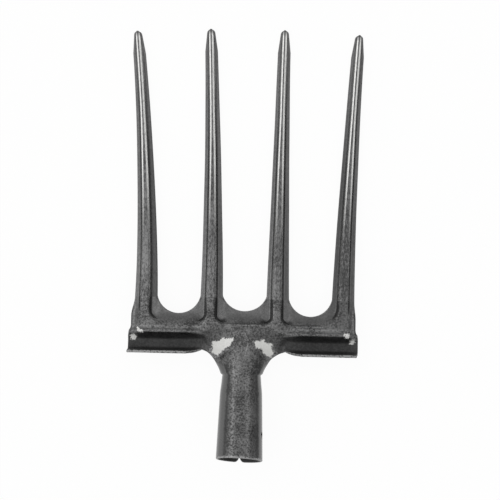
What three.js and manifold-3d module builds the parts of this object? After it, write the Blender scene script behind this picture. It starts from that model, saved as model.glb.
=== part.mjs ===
// Head of a four-tined digging fork, hot-pressed and rolled from one plate of steel.
// It lies on its back, front face up: tines along +Y, socket along -Y, floor at Z = 0.
// Millimetres. The pieces are the parts of the forging, met at the lines where its shape changes.

import * as THREE from 'three';
import { mergeVertices } from 'three/addons/utils/BufferGeometryUtils.js';
import Module from 'manifold-3d';

const { abs, asin, atan2, cos, hypot, max, min, sign, sin, sqrt, tan, PI } = Math;
const { lerp, clamp, smoothstep, degToRad } = THREE.MathUtils;

// Plate
const sheet = 2.5;               // thickness of the steel
const pieceGap = 0.3;            // left between two neighbouring pieces
const ribInset = 2;              // how much narrower a rib is inside than outside, each side

// Ribs, the raised crowns that stiffen the tines and the crosshead
const crownHeight = 7;           // crown above the flanges at the root of a tine
const crownTipHeight = 4.2;      // the same at the tip
const crownHalf = 4.3;           // half the flat top of a crown at the root
const crownTipHalf = 1.4;        // the same at the tip
const crownWall = 1.6;           // width of the steep side of a crown at the root
const crownTipWall = 2.2;        // the same at the tip
const outerCrownShift = 0.9;     // an outer tine's crown lies this far outside its middle

// Tines
const rootY = 41.1;              // where the tines meet the crosshead
const outerTineLength = 240;
const innerTineLength = 243;
const innerTineX = 29.7;         // middle of an inner tine at its root
const outerTineX = 88.4;         // middle of an outer tine at its root
const innerSplay = 3.1;          // how far an inner tip stands outside its root
const outerSplay = 10.4;         // how far an outer tip stands outside its root
const outerLeftSet = -3;         // how far each tip is set to the right of its even place
const innerLeftSet = -2.5;
const innerRightSet = -1.2;
const outerRightSet = 0.4;
const outerLeftSag = 0.9;        // how far each tine sags to the right at its middle
const innerLeftSag = 0.4;
const innerRightSag = 0.1;
const outerRightSag = 0.5;
const rootWidth = 20.2;
const shankWidth = 11.5;         // where the bevel of the point starts
const pointLength = 20;          // bevelled end of a tine
const pointWidth = 6.7;          // across the bevelled end
const tipReach = 3;              // length of its blunt round end
const tipCrownShare = 0.5;       // height of the crown at the very tip
const solidLength = 34;          // the rib is forged solid this far from the tip
const tineBow = 8;               // the tips curve forward by this much

// Crotches, the round roots of the gaps between the tines
const sideCrotchRadius = 19.7;
const sideCrotchY = 26.9;        // lowest point of a side crotch
const middleCrotchRadius = 20.9;
const middleCrotchY = 29.6;      // lowest point of the middle crotch

// Crosshead
const shoulderHalfLength = 100.6; // half the length beside the ridge
const headHalfLength = 103.3;    // half the length beside the treads
const trimShift = -0.8;          // the ends are cut this far to the left of even
const shoulderY = 16;            // the end steps out from here
const shoulderDrop = 11;         // to this much lower
const flareLength = 17;          // below the root, where the outer edge flares out
const ridgeFootY = 19.3;         // upper foot of the ridge across the crosshead
const ridgeRise = 1.8;           // width of its steep upper side
const tightCorner = 4.5;         // radius of a panel's lower corner
const softCorner = 9;            // the same where the side of the ridge is soft
const wideCorner = 12;           // and in the corner at the far right
const softRise = 6.5;            // width of the ridge's side there
const wideEndX = 99.1;           // the ridge runs out this far at its ends
const wideEndY = 29;             // below here
const wideEndRun = 4;            // after widening over this much
const ridgeLowY = 9.5;           // lower brow of the ridge
const dropWidth = 4.5;           // width of the fall from the brow into the gutter
const broadReach = 10;           // the fall starts this much sooner in the fillets of the neck
const broadDrop = 21;            // and is this wide there
const gutterDepth = 5;           // floor of the gutter below the flanges
const splitY = 0;                // the treads and the neck start here

// Treads, the turned-up footrests
const treadFoldY = -2;           // start of the fold
const foldRadius = 3.4;          // of the inner face
const treadLean = 10;            // degrees that a tread leans away from the tines
const treadRise = 9.5;           // straight part of the tread above its fold
const wingRun = 3.6;             // the same where the tread has flattened into the wing
const treadTaper = 14;           // run over which the inner end of a tread dies out

// Neck and socket
const wingHalf = 37.4;           // half-width of the neck where the treads end
const neckHalf = 13.5;           // half the flat of the neck, where it leaves the ridge
const neckFillet = 25;           // radius between the ridge and the neck
const throatY = -28;             // the wings have turned square to the front here
const throatRadius = 17;         // outside radius of the socket there
const closedY = -50;             // the rolled edges meet here
const mouthY = -101.8;           // middle of the socket's mouth
const mouthRadius = 20.6;        // outside radius at the mouth
const mouthLean = 9.7;           // degrees that its cut leans back from square to the tines
const mouthSkew = 2;             // degrees that it is cut lower at the right
const crank = 12;                // degrees between the socket and the tines
const crankRun = 30;             // length over which the bend is made
const seamWidth = 1.4;           // between the rolled edges
const valleyDepth = 1.1;         // shallow groove along the front of the socket, at the mouth
const valleyHalfAngle = 22;      // degrees
const socketLean = 2;            // the mouth is set this far to the left
const screwHole = 6.4;           // diameter of the handle screw's hole, through both sides
const screwHoleInset = 22.8;     // from the mouth
const holeSides = 16;
const cutOverrun = 10;           // how far a cutter passes the piece

// Shapes without a size: powers of curves, and shares of the sizes above
const splayPower = 1.55;         // a tine bends away mostly near its tip
const taperPower = 1.2;
const wingPower = 1.5;           // fullness of the neck's cut edge
const flarePower = 0.7;          // the socket widens mostly near its throat
const bendShare = 0.25;          // rounding of a rib's brow and foot, as a share of its side
const bevelShares = [-bendShare, bendShare, 1 - bendShare, 1 + bendShare];
const tineShares = [0, 0.07, 0.16, 0.26, 0.37, 0.48, 0.59, 0.7, 0.8, 0.88];
const pointShares = [0, 0.3, 0.6, 0.84];
const tipShares = [0.45, 0.72, 0.89, 0.985];
const tipPower = 2.4;            // roundness of the blunt end
const softShares = [0.35, 0.75];
const crotchSteps = 9;
const webShares = [0, 0.45];
const treadEndShares = [0, 0.12, 0.3, 0.5, 0.75, 1];
const treadRiseShares = [0, 0.1, 0.22, 0.32, 0.42, 0.52, 1];
const neckShares = [0, 0.1, 0.18, 0.25, 0.32, 0.4, 0.5, 0.62, 0.76, 0.9, 1];
const throatShares = [0.12, 0.3, 0.5, 0.72, 1];
const socketShares = [0, 0.18, 0.4, 0.62, 0.82, 1];
const halfRoundShares = [
  0, 0.04, 0.09, 0.15, 0.22, 0.29, 0.36, 0.43, 0.5, 0.58, 0.66, 0.75, 0.84, 0.92, 1,
];
const neckAcrossShares = [
  0, 0.07, 0.15, 0.25, 0.34, 0.42, 0.5, 0.57, 0.63, 0.69, 0.76, 0.85, 0.93, 1,
];

const steel = new THREE.MeshStandardMaterial({ color: '#5e6062', roughness: 0.42, metalness: 0.85 });
const brightSteel = new THREE.MeshStandardMaterial({
  color: '#6e7072', roughness: 0.36, metalness: 0.9,
});

// 0 below the foot, 1 above the brow, rounded at both
function ramp(share) {
  const bend = 2 * bendShare;
  const nearFoot = max(bend - abs(share), 0) / bend;
  const lifted = max(share, 0) + nearFoot * nearFoot * bend / 4;
  const nearBrow = max(bend - abs(1 - lifted), 0) / bend;
  return clamp(min(lifted, 1) - nearBrow * nearBrow * bend / 4, 0, 1);
}

// How far the front of the neck and the socket has come forward at y
function crankRise(y) {
  const run = max(splitY - y, 0);
  const bent = run < crankRun ? run * run / (2 * crankRun) : run - crankRun / 2;
  return tan(degToRad(crank)) * bent;
}

// Share of the fall from the ridge and the neck into the gutter: 0 at the brow, 1 at the floor.
// Ridge and neck meet in a fillet, where the fall is broad
function fallShare(x, y) {
  const besideNeck = max(neckFillet - (abs(x) - neckHalf), 0);
  const belowRidge = max(neckFillet - (ridgeLowY - y), 0);
  const reach = hypot(besideNeck, belowRidge);
  const broad = reach ? 2 * besideNeck * belowRidge / (reach * reach) : 0;
  return (neckFillet - reach + broad * broadReach) / lerp(dropWidth, broadDrop, broad);
}

const tines = [
  { name: 'tine_outer_left', side: -1, outer: true, tipSet: outerLeftSet, sag: outerLeftSag },
  { name: 'tine_inner_left', side: -1, outer: false, tipSet: innerLeftSet, sag: innerLeftSag },
  { name: 'tine_inner_right', side: 1, outer: false, tipSet: innerRightSet, sag: innerRightSag },
  { name: 'tine_outer_right', side: 1, outer: true, tipSet: outerRightSet, sag: outerRightSag },
];
for (const tine of tines) {
  tine.length = tine.outer ? outerTineLength : innerTineLength;
  tine.rootX = tine.outer ? outerTineX : innerTineX;
  tine.splay = tine.outer ? outerSplay : innerSplay;
  tine.crownShift = tine.outer ? outerCrownShift : 0;
  tine.crownX = tine.side * (tine.rootX + tine.crownShift);
}

const crownFoot = crownHalf + crownWall;
const ridgeEndX = outerTineX + outerCrownShift + crownFoot;

// The flat panels between the ribs, from -x to +x, with their lower corners at each side
const panels = [
  { corners: [softCorner, softCorner], rises: [softRise, softRise] },
  { corners: [tightCorner, tightCorner], rises: [ridgeRise, ridgeRise] },
  { corners: [tightCorner, wideCorner], rises: [ridgeRise, softRise] },
];

// Where the raised part of the crosshead ends, beside an outer tine
function ridgeEnd(y) {
  return lerp(ridgeEndX, wideEndX, smoothstep(wideEndY - y, -wideEndRun, 0));
}

// Height of the pressed front face over the crosshead and the flat of the neck
function pressedHeight(x, y) {
  let width = crownWall;
  let outside = abs(x) - ridgeEnd(y) + crownWall;
  if (abs(x) <= tines[3].crownX) {
    const index = tines.slice(1, 3).filter((tine) => x > tine.crownX).length;
    const left = x - tines[index].crownX - crownHalf;
    const right = tines[index + 1].crownX - crownHalf - x;
    const { corners, rises } = panels[index];
    const corner = left < right ? corners[0] : corners[1];
    const rise = lerp(rises[0], rises[1], smoothstep(left / (left + right), ...softShares));
    const beside = min(left, right);
    const above = y - ridgeFootY + ridgeRise + (rise - ridgeRise) * softShares[0];
    const nearSide = max(corner - beside, 0);
    const nearRidge = max(corner - above, 0);
    const near = hypot(nearSide, nearRidge);
    outside = near ? corner - near : min(beside, above);
    const upright = near ? (nearRidge / near) ** 2 : Number(above < beside);
    width = lerp(crownWall, rise, upright);
  }
  const raised = crownHeight * ramp(1 - outside / width);
  return lerp(raised, -gutterDepth, ramp(fallShare(x, y)));
}

// The inside of a rib is narrower than its outside: an offset from its middle, drawn in
function drawIn(offset, half, reach) {
  const inset = min(ribInset, half / 2);
  const fade = abs(offset) < half ? abs(offset) / half : (reach - abs(offset)) / (reach - half);
  return offset - sign(offset) * inset * clamp(fade, 0, 1);
}

// A closed solid between a front and a back grid, rows running from +y to -y
function slab(front, back) {
  const rows = front.length;
  const across = front[0].length;
  const positions = [];
  for (const grid of [front, back]) {
    for (const row of grid) row.forEach((point) => positions.push(point.x, point.y, point.z));
  }
  const faces = [];
  const quad = (a, b, c, d) => faces.push(a, b, c, a, c, d);
  const at = (row, column) => row * across + column;
  const behind = rows * across;
  for (let row = 0; row + 1 < rows; row += 1) {
    for (let column = 0; column + 1 < across; column += 1) {
      const corners = [
        at(row, column), at(row + 1, column), at(row + 1, column + 1), at(row, column + 1),
      ];
      quad(...corners);
      quad(...corners.reverse().map((corner) => corner + behind));
    }
  }
  const rim = [];
  for (let row = 0; row + 1 < rows; row += 1) rim.push(at(row, 0));
  for (let column = 0; column + 1 < across; column += 1) rim.push(at(rows - 1, column));
  for (let row = rows - 1; row > 0; row -= 1) rim.push(at(row, across - 1));
  for (let column = across - 1; column > 0; column -= 1) rim.push(at(0, column));
  rim.forEach((from, index) => {
    const to = rim[(index + 1) % rim.length];
    quad(to, from, from + behind, to + behind);
  });
  const geometry = new THREE.BufferGeometry();
  geometry.setAttribute('position', new THREE.Float32BufferAttribute(positions, 3));
  geometry.setIndex(faces);
  geometry.computeVertexNormals();
  return geometry;
}

function piece(name, geometry, material) {
  const mesh = new THREE.Mesh(geometry, material);
  mesh.name = name;
  return mesh;
}

// Gap between two tines: its middle, and half its width where the crotch has narrowed it
const middleCrotch = { x: 0, radius: middleCrotchRadius, low: middleCrotchY };
const sideCrotch = {
  x: (innerTineX + outerTineX) / 2, radius: sideCrotchRadius, low: sideCrotchY,
};
function crotchHalf(crotch, y) {
  const below = max(crotch.low + crotch.radius - y, 0);
  return sqrt(max(crotch.radius * crotch.radius - below * below, 0));
}

// Tine section at a distance along it: edges, middle of the crown and its sizes
function tineSection(tine, along) {
  const share = along / tine.length;
  const shankShare = min(along / (tine.length - pointLength), 1);
  const pointShare = max((along - tine.length + pointLength) / pointLength, 0);
  const y = rootY + along;
  const middle = tine.side * (tine.rootX + tine.splay * share ** splayPower)
    + tine.tipSet * share ** splayPower + tine.sag * 4 * share * (1 - share);
  const taper = (rootWidth - shankWidth) * (1 - shankShare) ** taperPower;
  const bevel = (shankWidth - pointWidth) * pointShare;
  const half = (shankWidth + taper - bevel) / 2;
  let outerEdge = middle + tine.side * half;
  let innerEdge = middle - tine.side * half;
  if (y < sideCrotch.low + sideCrotch.radius) {
    const gapHalf = crotchHalf(sideCrotch, y);
    if (tine.outer) innerEdge = tine.side * min(abs(innerEdge), sideCrotch.x + gapHalf);
    else outerEdge = tine.side * max(abs(outerEdge), sideCrotch.x - gapHalf);
  }
  if (!tine.outer && y < middleCrotch.low + middleCrotch.radius) {
    innerEdge = tine.side * min(abs(innerEdge), crotchHalf(middleCrotch, y));
  }
  const crownX = middle + tine.side * lerp(tine.crownShift, 0, share);
  return {
    y, outerEdge, innerEdge, crownX,
    crown: lerp(crownHeight, crownTipHeight, share),
    half: lerp(crownHalf, crownTipHalf, share),
    wall: lerp(crownWall, crownTipWall, share),
    bow: tineBow * share * share,
    hollow: clamp((tine.length - along - pointLength) / (solidLength - pointLength), 0, 1),
  };
}

// Front and back points across a tine, from -x to +x; roundness draws the tip's outline in
function tineRows(section, roundness, crownShare) {
  const edges = [section.outerEdge, section.innerEdge];
  const leftEdge = min(...edges);
  const rightEdge = max(...edges);
  const half = section.half * crownShare;
  const foot = half + section.wall;
  const front = [];
  const back = [];
  const add = (x, share, offset, reach) => {
    const z = section.bow + section.crown * crownShare * share;
    const drawnX = offset === 0 ? x : section.crownX + drawIn(offset, foot, reach);
    const hollowZ = section.bow + section.crown * crownShare * share * section.hollow - sheet;
    const squeeze = (value) => lerp((leftEdge + rightEdge) / 2, value, roundness);
    front.push(new THREE.Vector3(squeeze(x), section.y, z));
    back.push(new THREE.Vector3(squeeze(drawnX), section.y, hollowZ));
  };
  const leftReach = section.crownX - leftEdge;
  const rightReach = rightEdge - section.crownX;
  add(leftEdge, 0, 0, 0);
  for (const share of bevelShares) {
    const offset = min(foot - share * section.wall, leftReach * (1 - bendShare / 2));
    add(section.crownX - offset, ramp(share), -offset, leftReach);
  }
  add(section.crownX, 1, 0, 0);
  for (const share of [...bevelShares].reverse()) {
    const offset = min(foot - share * section.wall, rightReach * (1 - bendShare / 2));
    add(section.crownX + offset, ramp(share), offset, rightReach);
  }
  add(rightEdge, 0, 0, 0);
  return { front, back };
}

function makeTine(tine) {
  const shank = tine.length - pointLength;
  const straight = pointLength - tipReach;
  const stations = tineShares.map((share) => ({ along: share * shank, round: 1 }));
  stations[0].along = pieceGap / 2;
  pointShares.forEach((share) => stations.push({ along: shank + share * straight, round: 1 }));
  stations.push({ along: shank + straight, round: 1 });
  for (const share of tipShares) {
    const round = (1 - share ** tipPower) ** (1 / tipPower);
    stations.push({ along: shank + straight + tipReach * share, round });
  }
  const rows = stations.map(({ along, round }) => (
    tineRows(tineSection(tine, along), round, lerp(tipCrownShare, 1, round))
  )).reverse();
  const grids = [rows.map((row) => row.front), rows.map((row) => row.back)];
  return piece(tine.name, slab(...grids), brightSteel);
}

// End of the crosshead at y, on the given side
function headEnd(side, y) {
  const root = outerTineX + rootWidth / 2;
  const flare = smoothstep(y, rootY - flareLength, rootY);
  const flared = lerp(shoulderHalfLength, root, flare);
  const half = lerp(headHalfLength, flared, smoothstep(y, shoulderY - shoulderDrop, shoulderY));
  return side * half + trimShift * (1 - flare);
}

// Columns of the crosshead from -x to +x: where each stands and how high it reaches
function headColumns() {
  const columns = [];
  const top = rootY - pieceGap / 2;
  const crossCrotch = (crotch, middleX) => {
    const halfChord = crotchHalf(crotch, rootY);
    const spread = asin(halfChord / crotch.radius);
    for (let step = 1; step < crotchSteps; step += 1) {
      const angle = spread * (2 * step / crotchSteps - 1);
      const x = middleX + crotch.radius * sin(angle);
      columns.push({ x, top: crotch.low + crotch.radius * (1 - cos(angle)), reach: 0 });
    }
  };
  const crossTine = (tine) => {
    const { outerEdge, innerEdge, crownX } = tineSection(tine, 0);
    const edges = [min(outerEdge, innerEdge), max(outerEdge, innerEdge)];
    const leftEnd = tine.outer && tine.side < 0;
    const rightEnd = tine.outer && tine.side > 0;
    columns.push({ x: edges[0], top, reach: 0, end: leftEnd });
    for (const share of bevelShares) {
      const offset = crownFoot - share * crownWall;
      const reach = crownX - edges[0];
      columns.push({ x: crownX - offset, top, crownX, reach, foot: leftEnd });
    }
    columns.push({ x: crownX, top, reach: 0 });
    for (const share of [...bevelShares].reverse()) {
      const offset = crownFoot - share * crownWall;
      const reach = edges[1] - crownX;
      columns.push({ x: crownX + offset, top, crownX, reach, foot: rightEnd });
    }
    columns.push({ x: edges[1], top, reach: 0, end: rightEnd });
  };
  crossTine(tines[0]);
  crossCrotch(sideCrotch, -sideCrotch.x);
  crossTine(tines[1]);
  crossCrotch(middleCrotch, middleCrotch.x);
  crossTine(tines[2]);
  crossCrotch(sideCrotch, sideCrotch.x);
  crossTine(tines[3]);
  return columns;
}

function makeCrosshead() {
  const ridgeMiddleY = (ridgeFootY + ridgeLowY) / 2;
  const ridgeReach = rootY - ridgeMiddleY;
  const risers = bevelShares.map((share) => ridgeFootY - share * ridgeRise);
  const fallers = bevelShares.map((share) => ridgeLowY - share * dropWidth);
  const floorY = splitY + pieceGap / 2;
  const fixedRows = [...risers, ridgeMiddleY, ...fallers, floorY];
  const columns = headColumns();
  const front = [];
  const back = [];
  const addRow = (rowY) => {
    const frontRow = [];
    const backRow = [];
    for (const column of columns) {
      const y = rowY(column);
      const shift = column.foot ? ridgeEnd(y) - ridgeEndX : 0;
      const x = column.end ? headEnd(sign(column.x), y) : column.x + sign(column.x) * shift;
      const z = pressedHeight(x, y);
      frontRow.push(new THREE.Vector3(x, y, z));
      const reach = column.foot
        ? abs(headEnd(sign(x), y) - column.crownX) : column.reach;
      const backX = column.reach
        ? column.crownX + drawIn(x - column.crownX, crownFoot + shift, reach) : x;
      const below = clamp(fallShare(x, y) + 1, 0, 1)
        * clamp((y - floorY) / (ridgeLowY - dropWidth - floorY), 0, 1);
      const above = y > ridgeMiddleY && y <= risers[0] ? 1 : 0;
      const backY = above
        ? ridgeMiddleY + drawIn(y - ridgeMiddleY, ridgeFootY - ridgeMiddleY, ridgeReach)
        : y + (y < ridgeMiddleY ? ribInset * below : 0);
      backRow.push(new THREE.Vector3(backX, backY, z - sheet));
    }
    front.push(frontRow);
    back.push(backRow);
  };
  for (const share of webShares) addRow((column) => lerp(column.top, risers[0], share));
  for (const y of fixedRows) addRow(() => y);
  return piece('crosshead', slab(front, back), steel);
}

// A tread's section: the floor of the gutter, the fold and the upright, by the way along it
const fullFold = degToRad(90 - treadLean);
function treadPoint(way, depth, foldAngle) {
  const floor = splitY - treadFoldY;
  if (way <= floor) return { y: splitY - way, z: -gutterDepth - depth };
  const angle = min((way - floor) / foldRadius, foldAngle);
  const radius = foldRadius + depth;
  const past = way - floor - foldRadius * angle;
  return {
    y: treadFoldY - radius * sin(angle) - past * cos(angle),
    z: -gutterDepth + foldRadius - radius * cos(angle) + past * sin(angle),
  };
}

function makeTread(side, name) {
  const innerX = wingHalf + pieceGap / 2;
  const xs = treadEndShares.map((share) => innerX + share * treadTaper);
  xs.push(side * headEnd(side, splitY));
  const front = [];
  const back = [];
  for (const share of treadRiseShares) {
    const rowFront = [];
    const rowBack = [];
    for (const x of xs) {
      const raised = min((x - innerX) / treadTaper, 1);
      const foldAngle = fullFold * sin(raised * PI / 2);
      const past = lerp(wingRun, 0, raised) + treadRise * raised ** 3;
      const fullWay = splitY - treadFoldY + foldRadius * foldAngle + past;
      const way = lerp(pieceGap / 2, fullWay, share);
      for (const [row, depth] of [[rowFront, 0], [rowBack, sheet]]) {
        const { y, z } = treadPoint(way, depth, foldAngle);
        row.push(new THREE.Vector3(side * x, y, z));
      }
    }
    if (side < 0) {
      rowFront.reverse();
      rowBack.reverse();
    }
    front.push(rowFront);
    back.push(rowBack);
  }
  return piece(name, slab(front, back), steel);
}

// Outside radius of the rolled part at y
function socketRadius(y) {
  const down = clamp((throatY - y) / (throatY - mouthY), 0, 1);
  return lerp(throatRadius, mouthRadius, down ** flarePower);
}

function socketMiddleX(y) {
  return -socketLean * (splitY - y) / (splitY - mouthY);
}

// Half-width of the neck's cut edge at y, which turns down where the tread ends
const wingY = treadFoldY - wingRun;
function neckEdge(y) {
  if (y >= wingY) return wingHalf - pieceGap / 2;
  const down = min((wingY - y) / (wingY - throatY), 1);
  const full = (1 - (1 - down) ** wingPower) ** (1 / wingPower);
  return lerp(wingHalf - pieceGap / 2, throatRadius, full);
}

// Front profile across the neck at y, share 0 at its middle and 1 at its cut edge
function neckPoint(y, share) {
  const rolled = smoothstep(-y, -wingY, -throatY);
  const angle = share * PI / 2;
  const edge = neckEdge(y);
  const top = crownHeight + crankRise(y);
  const pressed = pressedHeight(share * edge, y) + crankRise(y);
  const round = top - throatRadius * (1 - cos(angle));
  return { x: edge * lerp(share, sin(angle), rolled), z: lerp(pressed, round, rolled) };
}

// Front profile across the rolled part at y, wrapped as far as the given angle
function rolledPoint(y, share, wrap) {
  const radius = socketRadius(y);
  const angle = share * wrap;
  const along = clamp((closedY - y) / (closedY - mouthY), 0, 1);
  const groove = valleyDepth * along * max(1 - (angle / degToRad(valleyHalfAngle)) ** 2, 0) ** 2;
  const axisZ = crownHeight + crankRise(y) - radius;
  return { x: (radius - groove) * sin(angle), z: axisZ + (radius - groove) * cos(angle), axisZ };
}

// A row across both sides with its back offset by the sheet, laid in a plane that leans by slope
// and runs down to the right by skew
function shellRow(y, shares, pointAt, slope, skew) {
  const points = [
    ...shares.slice(1).reverse().map((share) => {
      const point = pointAt(y, share);
      return { ...point, x: -point.x };
    }),
    ...shares.map((share) => pointAt(y, share)),
  ];
  const front = [];
  const back = [];
  points.forEach((point, index) => {
    const before = points[max(index - 1, 0)];
    const after = points[min(index + 1, points.length - 1)];
    const run = hypot(after.x - before.x, after.z - before.z);
    const inward = { x: (after.z - before.z) / run, z: -(after.x - before.x) / run };
    for (const [row, depth] of [[front, 0], [back, sheet]]) {
      const x = point.x + inward.x * depth;
      const z = point.z + inward.z * depth;
      const lean = slope ? slope * (z - point.axisZ) - skew * x : 0;
      row.push(new THREE.Vector3(x + socketMiddleX(y), y + lean, z));
    }
  });
  return { front, back };
}

function seamAngle(y) {
  return PI - asin(seamWidth / 2 / socketRadius(y));
}

function makeNeck() {
  const top = splitY - pieceGap / 2;
  const rows = neckShares.map((share) => (
    shellRow(lerp(top, throatY, share), neckAcrossShares, neckPoint, 0, 0)
  ));
  const end = closedY + pieceGap / 2;
  for (const share of throatShares) {
    const y = lerp(throatY, end, share);
    const wrap = lerp(PI / 2, seamAngle(y), 1 - (1 - share) ** 2);
    rows.push(shellRow(y, neckAcrossShares, (at, part) => rolledPoint(at, part, wrap), 0, 0));
  }
  return piece('neck', slab(rows.map((row) => row.front), rows.map((row) => row.back)), steel);
}

const wasm = await Module();
wasm.setup();

function asSolid(geometry) {
  const bare = geometry.clone();
  bare.deleteAttribute('normal');
  bare.deleteAttribute('uv');
  const merged = mergeVertices(bare);
  return new wasm.Manifold(new wasm.Mesh({
    numProp: 3,
    vertProperties: merged.attributes.position.array,
    triVerts: new Uint32Array(merged.index.array),
  }));
}

function asGeometry(solid) {
  const mesh = solid.getMesh();
  const geometry = new THREE.BufferGeometry();
  geometry.setAttribute('position', new THREE.BufferAttribute(mesh.vertProperties, 3));
  geometry.setIndex(new THREE.BufferAttribute(mesh.triVerts, 1));
  geometry.computeVertexNormals();
  return geometry;
}

function makeSocket() {
  const start = closedY - pieceGap / 2;
  const rows = socketShares.map((share) => {
    const y = lerp(start, mouthY, share);
    const wrap = seamAngle(y);
    const slope = share * tan(degToRad(mouthLean));
    const skew = share * tan(degToRad(mouthSkew));
    return shellRow(y, halfRoundShares, (at, part) => rolledPoint(at, part, wrap), slope, skew);
  });
  const tube = slab(rows.map((row) => row.front), rows.map((row) => row.back));
  const holeY = mouthY + screwHoleInset * cos(degToRad(crank));
  const cutter = new THREE.CylinderGeometry(
    screwHole / 2, screwHole / 2, 2 * (mouthRadius + cutOverrun), holeSides,
  );
  cutter.rotateZ(PI / 2);
  cutter.translate(socketMiddleX(holeY), holeY, rolledPoint(holeY, 0, PI).axisZ);
  return piece('socket', asGeometry(asSolid(tube).subtract(asSolid(cutter))), steel);
}

const head = new THREE.Group();
for (const tine of tines) head.add(makeTine(tine));
head.add(makeCrosshead());
head.add(makeTread(-1, 'tread_left'));
head.add(makeTread(1, 'tread_right'));
head.add(makeNeck());
head.add(makeSocket());

// The head rests on the backs of its tips and of its socket
function lowest(points, pitch) {
  return points.reduce((low, point) => {
    const height = point.z * cos(pitch) + point.y * sin(pitch);
    return height < low.height ? { height, y: point.y, z: point.z } : low;
  }, { height: Infinity });
}
const allPoints = head.children.flatMap(({ geometry }) => {
  const { position } = geometry.attributes;
  return Array.from({ length: position.count }, (_, index) => ({
    y: position.getY(index), z: position.getZ(index),
  }));
});
const tipPoints = allPoints.filter((point) => point.y > rootY);
const rearPoints = allPoints.filter((point) => point.y < splitY);
const settleSteps = 8;
let pitch = 0;
for (let step = 0; step < settleSteps; step += 1) {
  const tip = lowest(tipPoints, pitch);
  const rear = lowest(rearPoints, pitch);
  pitch = -atan2(tip.z - rear.z, tip.y - rear.y);
}
head.rotation.x = pitch;

const fork = new THREE.Group();
fork.add(head);
fork.updateMatrixWorld(true);
const extent = new THREE.Box3().setFromObject(head, true);
const centre = extent.getCenter(new THREE.Vector3());
head.position.set(-centre.x, -centre.y, -extent.min.z);
fork.updateMatrixWorld(true);

export default fork;
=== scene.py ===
# Head of a four-tined digging fork: one steel plate, hot-pressed, rolled and lacquered.
# It lies on its back, front up. The shapes are worked out in millimetres in the plane of
# the tines (x right, y to the tips, z forward), and layDown turns them into the frame's metres.
from functools import partial
from math import asin, copysign, cos, degrees, hypot, pi, radians, sin, sqrt, tan

import bmesh
import bpy
from mathutils import Matrix, Vector, noise


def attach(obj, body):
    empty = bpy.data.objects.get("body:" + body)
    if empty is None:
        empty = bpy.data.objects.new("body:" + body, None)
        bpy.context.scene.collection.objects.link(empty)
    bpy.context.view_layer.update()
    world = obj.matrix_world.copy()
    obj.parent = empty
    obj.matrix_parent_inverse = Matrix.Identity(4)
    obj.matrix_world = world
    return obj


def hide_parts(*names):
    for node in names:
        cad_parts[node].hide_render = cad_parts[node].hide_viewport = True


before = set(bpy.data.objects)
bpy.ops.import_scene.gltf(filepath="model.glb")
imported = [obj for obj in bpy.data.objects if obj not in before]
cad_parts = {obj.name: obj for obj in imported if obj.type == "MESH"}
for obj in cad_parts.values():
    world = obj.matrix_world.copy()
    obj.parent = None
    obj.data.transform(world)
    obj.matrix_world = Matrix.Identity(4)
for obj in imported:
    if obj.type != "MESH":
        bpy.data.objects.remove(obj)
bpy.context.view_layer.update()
print("frame loaded:", len(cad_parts), "nodes")

# how the head lies in the frame: turned about x, then moved
lie = {"turn": -4.9868, "shift": (0.9221, -88.7950, 19.2156)}
layDown = (
    Matrix.Scale(0.001, 4)
    @ Matrix.Translation(lie["shift"])
    @ Matrix.Rotation(radians(lie["turn"]), 4, "X")
)

plate = {
    "thickness": 2.5,
    "ribInset": 2.0,  # a rib is this much narrower inside than outside, each side
    "edgeRound": 0.8,  # radius of the trimmed edges
    "roundAngles": (90, 62, 36, 14, 0),  # where the skin follows it
    "bend": 0.5,  # length of a rounded brow or foot, as a share of the rib's side
    "sharp": 40,  # degrees past which an edge shows as a crease
    "waver": 0.22,  # nothing pressed by hand is quite straight
    "waverLength": 60,
    "waverSeed": 5,
    "hang": 1.2,  # the right side of the crosshead was pressed this much lower
    "hangRun": 40,
    "hangNeck": 45,  # length over which the neck comes out of it
    "backScale": 0.3,  # thickness of the scale on the back, 1 where it is black
}
edgeRound = plate["edgeRound"]
noise.seed_set(plate["waverSeed"])


def clamp(value, low=0.0, high=1.0):
    return max(low, min(high, value))


def mix(a, b, share):
    return a + (b - a) * share


# how far value has gone from low to high
def shareOf(value, low, high):
    return clamp((value - low) / (high - low))


def ease(value, low, high):
    share = shareOf(value, low, high)
    return share * share * (3 - 2 * share)


# evenly spaced values after low, up to high
def steps(low, high, count):
    return [mix(low, high, n / count) for n in range(1, count + 1)]


# 1 at the middle, 0 from half a width away
def near(value, middle, half):
    return clamp(1 - abs(value - middle) / half)


# 0 below the foot, 1 above the brow, rounded at both
def ramp(share):
    bend = plate["bend"]
    atFoot = max(bend - abs(share), 0) / bend
    lifted = max(share, 0) + atFoot * atFoot * bend / 4
    atBrow = max(bend - abs(1 - lifted), 0) / bend
    return clamp(min(lifted, 1) - atBrow * atBrow * bend / 4)


# distances from a trimmed edge that follow its rounding, and how far the skin lies in there
roundMarks = [edgeRound * (1 - sin(radians(angle))) for angle in plate["roundAngles"]]


def edgeDrop(distance):
    inside = clamp(edgeRound - distance, 0, edgeRound)
    return edgeRound - sqrt(edgeRound ** 2 - inside**2)


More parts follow.
